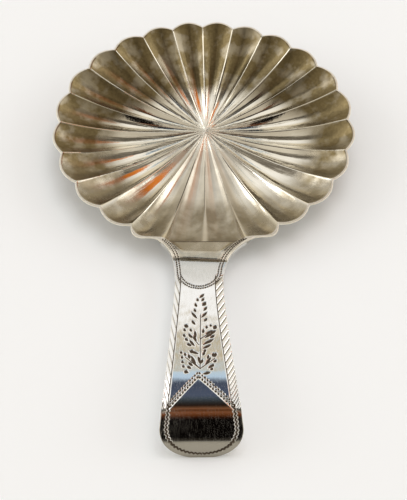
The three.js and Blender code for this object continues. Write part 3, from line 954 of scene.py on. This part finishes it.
def add(tree, kind, inputs=(), **settings):
    """Adds a node with its settings. Inputs are given in order, or by name or number, and
    each is a value or a socket to link from."""
    node = tree.nodes.new(kind)
    for key, value in settings.items():
        setattr(node, key, value)
    named = inputs if isinstance(inputs, dict) else dict(enumerate(inputs))
    for key, value in named.items():
        if isinstance(value, bpy.types.NodeSocket):
            tree.links.new(value, node.inputs[key])
        else:
            node.inputs[key].default_value = value
    return node


def new_material(name):
    """An empty node material and its tree."""
    material = bpy.data.materials.new(name)
    material.use_nodes = True
    material.node_tree.nodes.clear()
    return material, material.node_tree


# A Map Range node with this setting eases a value from one range into another
EASED = {"interpolation_type": "SMOOTHSTEP"}

# Brown dirt that settles in engraved cuts, and in the same colour painted shade beside the
# bowl's ridges and along the tab's stop: its colour, the cut's depths at which it starts and
# covers, and how metallic the silver is without it and under it
DIRT_AND_PAINTED_SHADE = "#4a3d2e"
DIRT_AND_SHADE_COVER = (0.1, 0.5)
DIRT_AND_SHADE_METALLIC = (1, 0.4)

# Streaks round the fan's middle: its place on the spoon at rest, in metres, then the
# distance half way out and the streaks' width there and length, in millimetres
FAN_PLACE = (FAN[0] * MM, 0.0185, 0)
HALF_WAY = 10.2
STREAK_WIDTH = 0.3
STREAK_LENGTH = 3.846
STREAK_ROUND = (HALF_WAY / STREAK_WIDTH, HALF_WAY / STREAK_WIDTH, 0)
STREAK_OUTWARD = 1 / (STREAK_LENGTH * MM)
STREAKS = {"Scale": 1, "Detail": 3}
STREAK_RELIEF = {"Strength": 0.5, "Distance": 0.05 * MM}

# Toned silver: patches 2.4 mm and grain 0.45 mm across, what a patch makes of the toning,
# roughness from bright to toned, and what grain, dirt with painted shade and satin wear add to it
PATCHES = {"Scale": 1 / (2.381 * MM), "Detail": 5}
PATCH_SPREAD = (0.34, 0.64)
PATCH_TONING = (0.8, 1.12)
GRAIN = {"Scale": 1 / (0.4545 * MM), "Detail": 3}
GRAIN_RELIEF = {"Strength": 0.2, "Distance": 0.04 * MM}
TARNISH_START = (0.2, 1)
TARNISH_ROUGHNESS = (0.04, 0.3)
TONED_SHARES = (0.07, 0.35, 0.3)

# Burnished silver: clouds of sheen 2.9 mm across, scratches 0.9 mm long, an eighth as wide
# and at a slight angle, their roughness, and what dirt, satin wear and toning with the tip's painted
# shade add to it
SHEEN = {"Scale": 1 / (2.857 * MM), "Detail": 4}
HAIR = {"Scale": 1 / (0.9091 * MM), "Detail": 3}
HAIR_DRAWN = {"Scale": (8, 1, 1), "Rotation": (0, 0, 0.25)}
HAIR_SPREAD = (0.3, 0.7)
HAIR_ROUGHNESS = (0.03, 0.1)
HAIR_RELIEF = {"Strength": 0.12, "Distance": 0.03 * MM}
BURNISHED_SHARES = (0.45, 0.25, 0.06)

# Solder: grain 1.1 mm across
SOLDER_GRAIN = {"Scale": 1 / (1.111 * MM), "Detail": 4}
SOLDER_RELIEF = {"Strength": 0.5, "Distance": 0.05 * MM}
SOLDER_ROUGHNESS = 0.42


def radial_streaks(tree, place):
    """Noise drawn out along the flutes: it runs fast round the fan's middle and slowly
    along its rays, as a stamp's polishing lines and hand wear do. Real lines are finer, and
    these are as coarse as they need to be to show."""
    aside = add(tree, "ShaderNodeVectorMath", (place, FAN_PLACE), operation="SUBTRACT").outputs[0]
    flat = add(tree, "ShaderNodeVectorMath", (aside, (1, 1, 0)), operation="MULTIPLY").outputs[0]
    reach = add(tree, "ShaderNodeVectorMath", (flat,), operation="LENGTH").outputs["Value"]
    ray = add(tree, "ShaderNodeVectorMath", (flat,), operation="NORMALIZE").outputs[0]
    fast = add(tree, "ShaderNodeVectorMath", (ray, STREAK_ROUND), operation="MULTIPLY").outputs[0]
    slow = add(tree, "ShaderNodeMath", (reach, STREAK_OUTWARD), operation="MULTIPLY").outputs[0]
    along = add(tree, "ShaderNodeCombineXYZ", {2: slow}).outputs[0]
    streak = add(tree, "ShaderNodeVectorMath", (fast, along), operation="ADD").outputs[0]
    return add(tree, "ShaderNodeTexNoise", {"Vector": streak, **STREAKS}).outputs[0]


def toned_silver():
    """Sterling silver sheet, die-stamped and long polished: bright where cloths reach,
    with olive-brown sulphide toning in mottled patches in the hollows towards the rim. Its
    grain is really finer, and is as coarse as it needs to be to show."""
    material, tree = new_material("toned_sterling_silver")
    place = add(tree, "ShaderNodeTexCoord").outputs["Object"]
    cut, worked, satin = (
        add(tree, "ShaderNodeAttribute", attribute_name=name).outputs["Fac"]
        for name in ("cut", "toning", "satin"))
    cloud = add(tree, "ShaderNodeTexNoise", {"Vector": place, **PATCHES}).outputs[0]
    fine = add(tree, "ShaderNodeTexNoise", {"Vector": place, **GRAIN}).outputs[0]
    streak = radial_streaks(tree, place)
    patches = add(tree, "ShaderNodeMapRange", (cloud, *PATCH_SPREAD, *PATCH_TONING), **EASED).outputs[0]
    toning = add(tree, "ShaderNodeMath", (worked, patches), operation="MULTIPLY",
                 use_clamp=True).outputs[0]
    bright = add(tree, "ShaderNodeMix", {0: streak, 6: linear("#e8dfcb"), 7: linear("#fdf8ec")},
                 data_type="RGBA").outputs[2]
    brown = add(tree, "ShaderNodeMix", {0: fine, 6: linear("#605338"), 7: linear("#8f7f5b")},
                data_type="RGBA").outputs[2]
    silver = add(tree, "ShaderNodeMix", {0: toning, 6: bright, 7: brown}, data_type="RGBA").outputs[2]
    # On the bowl the cut field also holds painted shade, beside the ridges and along the stop, darkened
    # here like dirt
    dirt = add(tree, "ShaderNodeMapRange", (cut, *DIRT_AND_SHADE_COVER, 0, 1), **EASED).outputs[0]
    colour = add(tree, "ShaderNodeMix", {0: dirt, 6: silver, 7: linear(DIRT_AND_PAINTED_SHADE)},
                 data_type="RGBA").outputs[2]
    metal = add(tree, "ShaderNodeMapRange", (dirt, 0, 1, *DIRT_AND_SHADE_METALLIC), **EASED).outputs[0]
    rough = add(tree, "ShaderNodeMapRange", (toning, *TARNISH_START, *TARNISH_ROUGHNESS),
                **EASED).outputs[0]
    for share, factor in zip((fine, dirt, satin), TONED_SHARES):
        rough = add(tree, "ShaderNodeMath", (share, factor, rough), operation="MULTIPLY_ADD").outputs[0]
    drawn = add(tree, "ShaderNodeBump", {"Height": streak, **STREAK_RELIEF}).outputs[0]
    relief = add(tree, "ShaderNodeBump", {"Height": fine, "Normal": drawn, **GRAIN_RELIEF}).outputs[0]
    shader = add(tree, "ShaderNodeBsdfPrincipled", {
        "Base Color": colour, "Metallic": metal, "Roughness": rough, "Normal": relief})
    add(tree, "ShaderNodeOutputMaterial", {"Surface": shader.outputs[0]})
    return material


def burnished_silver():
    """Sterling silver sheet, planished and burnished: nearly a mirror, with hair scratches,
    and brown dirt in the engraved cuts. The scratches are really finer, and are as coarse
    as they need to be to show."""
    material, tree = new_material("burnished_sterling_silver")
    place = add(tree, "ShaderNodeTexCoord").outputs["Object"]
    cut, toning, satin = (
        add(tree, "ShaderNodeAttribute", attribute_name=name).outputs["Fac"]
        for name in ("cut", "toning", "satin"))
    cloud = add(tree, "ShaderNodeTexNoise", {"Vector": place, **SHEEN}).outputs[0]
    turned = add(tree, "ShaderNodeMapping", {"Vector": place, **HAIR_DRAWN}).outputs[0]
    hair = add(tree, "ShaderNodeTexNoise", {"Vector": turned, **HAIR}).outputs[0]
    dirt = add(tree, "ShaderNodeMapRange", (cut, *DIRT_AND_SHADE_COVER, 0, 1), **EASED).outputs[0]
    colour = linear("#fbfaf7")
    # The toning field darkens the neck, and the curl's end with painted shade
    for share, next_colour in ((cloud, "#f1eee8"), (toning, "#8f8877"), (dirt, DIRT_AND_PAINTED_SHADE)):
        colour = add(tree, "ShaderNodeMix", {0: share, 6: colour, 7: linear(next_colour)},
                     data_type="RGBA").outputs[2]
    metal = add(tree, "ShaderNodeMapRange", (dirt, 0, 1, *DIRT_AND_SHADE_METALLIC), **EASED).outputs[0]
    rough = add(tree, "ShaderNodeMapRange", (hair, *HAIR_SPREAD, *HAIR_ROUGHNESS), **EASED).outputs[0]
    for share, factor in zip((dirt, satin, toning), BURNISHED_SHARES):
        rough = add(tree, "ShaderNodeMath", (share, factor, rough), operation="MULTIPLY_ADD").outputs[0]
    relief = add(tree, "ShaderNodeBump", {"Height": hair, **HAIR_RELIEF}).outputs[0]
    shader = add(tree, "ShaderNodeBsdfPrincipled", {
        "Base Color": colour, "Metallic": metal, "Roughness": rough, "Normal": relief})
    add(tree, "ShaderNodeOutputMaterial", {"Surface": shader.outputs[0]})
    return material


def solder_metal():
    """Silver solder, an alloy with copper and zinc that was run and left unpolished: dull,
    and greyer than the sheets."""
    material, tree = new_material("hard_solder")
    place = add(tree, "ShaderNodeTexCoord").outputs["Object"]
    cloud = add(tree, "ShaderNodeTexNoise", {"Vector": place, **SOLDER_GRAIN}).outputs[0]
    colour = add(tree, "ShaderNodeMix", {0: cloud, 6: linear("#c4beb0"), 7: linear("#8f8674")},
                 data_type="RGBA").outputs[2]
    relief = add(tree, "ShaderNodeBump", {"Height": cloud, **SOLDER_RELIEF}).outputs[0]
    shader = add(tree, "ShaderNodeBsdfPrincipled", {
        "Base Color": colour, "Metallic": 1.0, "Roughness": SOLDER_ROUGHNESS, "Normal": relief})
    add(tree, "ShaderNodeOutputMaterial", {"Surface": shader.outputs[0]})
    return material


# Camera, at the photograph's angle
CAMERA_PLACE = Vector((-0.2, -123.13, 165.8)) * MM
CAMERA_PITCH = math.radians(54)
CAMERA_ROLL = math.radians(-0.55)
CAMERA_LENS = 102.48
CAMERA_CLIP = (0.01, 10)


def make_camera():
    """Looks down along +Y at the pitch, with a slight roll."""
    data = bpy.data.cameras.new("camera")
    data.lens = CAMERA_LENS
    data.clip_start, data.clip_end = CAMERA_CLIP
    camera = bpy.data.objects.new("camera", data)
    turn = Matrix.Rotation(math.pi / 2 - CAMERA_PITCH, 4, "X") @ Matrix.Rotation(CAMERA_ROLL, 4, "Z")
    camera.matrix_world = Matrix.Translation(CAMERA_PLACE) @ turn
    bpy.context.scene.collection.objects.link(camera)
    bpy.context.scene.camera = camera


# The studio as the spoon mirrors it, by the angle up from the front horizon, over the top
# and down to the horizon behind the camera, in degrees. The narrow strip over the middle
# is what the handle shows. The flutes show the wide zone round it and the sides beyond.
MIDDLE_BANDS = (
    (0, "#a39b8c"), (28, "#dedad2"), (38, "#f6f4ef"), (41, "#fdfcf8"), (42.4, "#ffffff"),
    (44.3, "#ffffff"), (44.6, "#efe9dc"), (44.9, "#c9bb9f"), (45.5, "#bfb095"), (45.9, "#b5ad98"),
    (46.3, "#c8cac4"), (47.2, "#bfd2e0"), (51.3, "#b9d0e6"), (52.6, "#8794a4"), (54.4, "#4a5364"),
    (56, "#424a5c"), (62, "#4a5367"), (70, "#3e4852"), (81, "#2b2b2b"), (88.5, "#241710"),
    (93, "#573a27"), (96, "#784d33"), (100, "#4f2c15"), (105, "#774a30"), (111, "#5e3419"),
    (117, "#2c150a"), (122, "#060403"), (165, "#060403"), (174, "#38322a"), (180, "#a49b86"),
)
WIDE_BANDS = (
    (0, "#d9ccb0"), (22, "#e3d9c3"), (38, "#f8f7f4"), (58, "#ffffff"), (69, "#f6f4f0"),
    (76, "#8a857c"), (84, "#4c4842"), (92, "#6f695f"), (100, "#c6bfb3"), (150, "#b9b2a5"),
    (166, "#c0bab0"), (180, "#cfcbc4"),
)
SIDE_BANDS = (
    (0, "#d8cfb8"), (28, "#efece5"), (44, "#ffffff"), (66, "#ffffff"), (74, "#a8a39a"),
    (82, "#6a655e"), (92, "#8a847a"), (102, "#dcd7cc"), (150, "#d6d1c6"), (180, "#e2ded6"),
)

# Soft edges of the middle strip, of the sides and of the pale ring over the horizon, as
# sines of the angle sideways and upwards
MIDDLE_WIDTH = (0.05, 0.11)
SIDE_START = (0.25, 0.6)
HORIZON_RING = (0.02, 0.12)
HORIZON_COLOUR = "#f5f3ee"

# Warm card in front, high at the right: towards, cosines of its soft edge, colour
WARM_CARD = ((0.49, 0.44, 0.75), (0.964, 0.988), "#dc8238")


def make_world():
    """A soft studio: bright in front of the spoon, with a dark gap overhead, dark along the
    middle where the camera stands, and pale all round the horizon."""
    world = bpy.data.worlds.new("studio")
    world.use_nodes = True
    tree = world.node_tree
    tree.nodes.clear()
    direction = add(tree, "ShaderNodeTexCoord").outputs["Generated"]
    aside, ahead, rise = add(tree, "ShaderNodeSeparateXYZ", (direction,)).outputs
    angle = add(tree, "ShaderNodeMath", (rise, ahead), operation="ARCTAN2").outputs[0]
    share = add(tree, "ShaderNodeMath", (angle, math.pi), operation="DIVIDE", use_clamp=True).outputs[0]
    aside = add(tree, "ShaderNodeMath", (aside,), operation="ABSOLUTE").outputs[0]
    towards, edge, card_colour = WARM_CARD
    nearness = add(tree, "ShaderNodeVectorMath", (direction, Vector(towards).normalized()),
                   operation="DOT_PRODUCT").outputs["Value"]
    skies = []
    for bands in (MIDDLE_BANDS, WIDE_BANDS, SIDE_BANDS):
        ramp = add(tree, "ShaderNodeValToRGB", (share,))
        elements = ramp.color_ramp.elements
        for number, (degrees, colour) in enumerate(bands):
            element = elements[number] if number < 2 else elements.new(degrees / 180)
            element.position = degrees / 180
            element.color = linear(colour)
        skies.append(ramp.outputs[0])
    sky, wide, sides = skies
    layers = (
        (aside, MIDDLE_WIDTH, (0, 1), wide), (aside, SIDE_START, (0, 1), sides),
        (rise, HORIZON_RING, (1, 0), linear(HORIZON_COLOUR)),
        (nearness, edge, (0, 1), linear(card_colour)),
    )
    for value, source, target, colour in layers:
        factor = add(tree, "ShaderNodeMapRange", (value, *source, *target), **EASED).outputs[0]
        sky = add(tree, "ShaderNodeMix", {0: factor, 6: sky, 7: colour}, data_type="RGBA").outputs[2]
    background = add(tree, "ShaderNodeBackground", {"Color": sky, "Strength": 1.0})
    add(tree, "ShaderNodeOutputWorld", {"Surface": background.outputs[0]})
    bpy.context.scene.world = world


# Floor, its size in metres
FLOOR_SIZE = 1.0
FLOOR_GLOW = 0.06
CARD = "#f1f3f5"
CARD_ROUGHNESS = 0.9


def make_floor():
    """A plain pale sheet of card under the spoon. What the camera and the metal see of it
    glows a little, so that it stays pale, and its shadows stay."""
    bpy.ops.mesh.primitive_plane_add(size=FLOOR_SIZE)
    floor = bpy.context.object
    floor.name = "floor"
    material, tree = new_material("pale_card")
    path = add(tree, "ShaderNodeLightPath").outputs
    seen = path["Is Camera Ray"]
    for ray in ("Is Glossy Ray", "Is Transmission Ray"):
        seen = add(tree, "ShaderNodeMath", (seen, path[ray]), operation="ADD",
                   use_clamp=True).outputs[0]
    glow = add(tree, "ShaderNodeMath", (seen, FLOOR_GLOW), operation="MULTIPLY").outputs[0]
    shader = add(tree, "ShaderNodeBsdfPrincipled", {
        "Base Color": linear(CARD), "Roughness": CARD_ROUGHNESS, "Emission Color": linear(CARD),
        "Emission Strength": glow})
    add(tree, "ShaderNodeOutputMaterial", {"Surface": shader.outputs[0]})
    floor.data.materials.append(material)


# Softboxes: name, place in metres, size in metres, watts, and whether the silver mirrors it
SOFTBOXES = (
    ("left_softbox", (-0.9, 0.15, 0.45), (0.9, 0.5), 2.2, True),
    ("right_softbox", (0.9, 0.15, 0.45), (0.9, 0.5), 1.8, True),
    ("overhead_softbox", (0.2, 0.3, 1.2), (0.9, 0.9), 5.0, False),
)


def make_lamps():
    """Two large softboxes, low at the left and the right, and a soft fill from above that
    only matt surfaces show."""
    for name, place, (width, height), energy, mirrored in SOFTBOXES:
        data = bpy.data.lights.new(name, "AREA")
        data.shape = "RECTANGLE"
        data.size, data.size_y = width, height
        data.energy = energy
        lamp = bpy.data.objects.new(name, data)
        lamp.location = place
        lamp.rotation_euler = (-Vector(place)).to_track_quat("-Z", "Y").to_euler()
        lamp.visible_glossy = mirrored
        bpy.context.scene.collection.objects.link(lamp)


def put_on_spoon(piece, node, material):
    """Gives the piece its finish and sets it in place of its CAD node."""
    piece.data.materials.append(material)
    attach(piece, "root")
    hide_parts(node)


def main():
    make_camera()
    make_world()
    make_lamps()
    make_floor()
    points, triangles, values = plate([fluted_patch(), rim_patch(), tab_patch()])
    handle_points, handle_fields = handle_surface()
    rest = resting(points, handle_points.reshape(-1, 3))
    bowl = make_piece("stamped_bowl", lay_down(points, rest), triangles, values)
    put_on_spoon(bowl, "bowl", toned_silver())
    numbers = np.arange(handle_points[..., 0].size).reshape(handle_points.shape[:2])
    handle = make_piece(
        "bright_cut_handle", lay_down(handle_points, rest).reshape(-1, 3),
        grid_triangles(numbers, closed=True), handle_fields,
        caps=(numbers[0][::-1], numbers[-1]))
    put_on_spoon(handle, "handle", burnished_silver())
    points, triangles, values = plate([solder_patch()])
    solder = make_piece("solder_fillet", lay_down(points, rest), triangles, values)
    put_on_spoon(solder, "solder_seam", solder_metal())


main()
scene = bpy.context.scene
scene.view_settings.view_transform = "Standard"
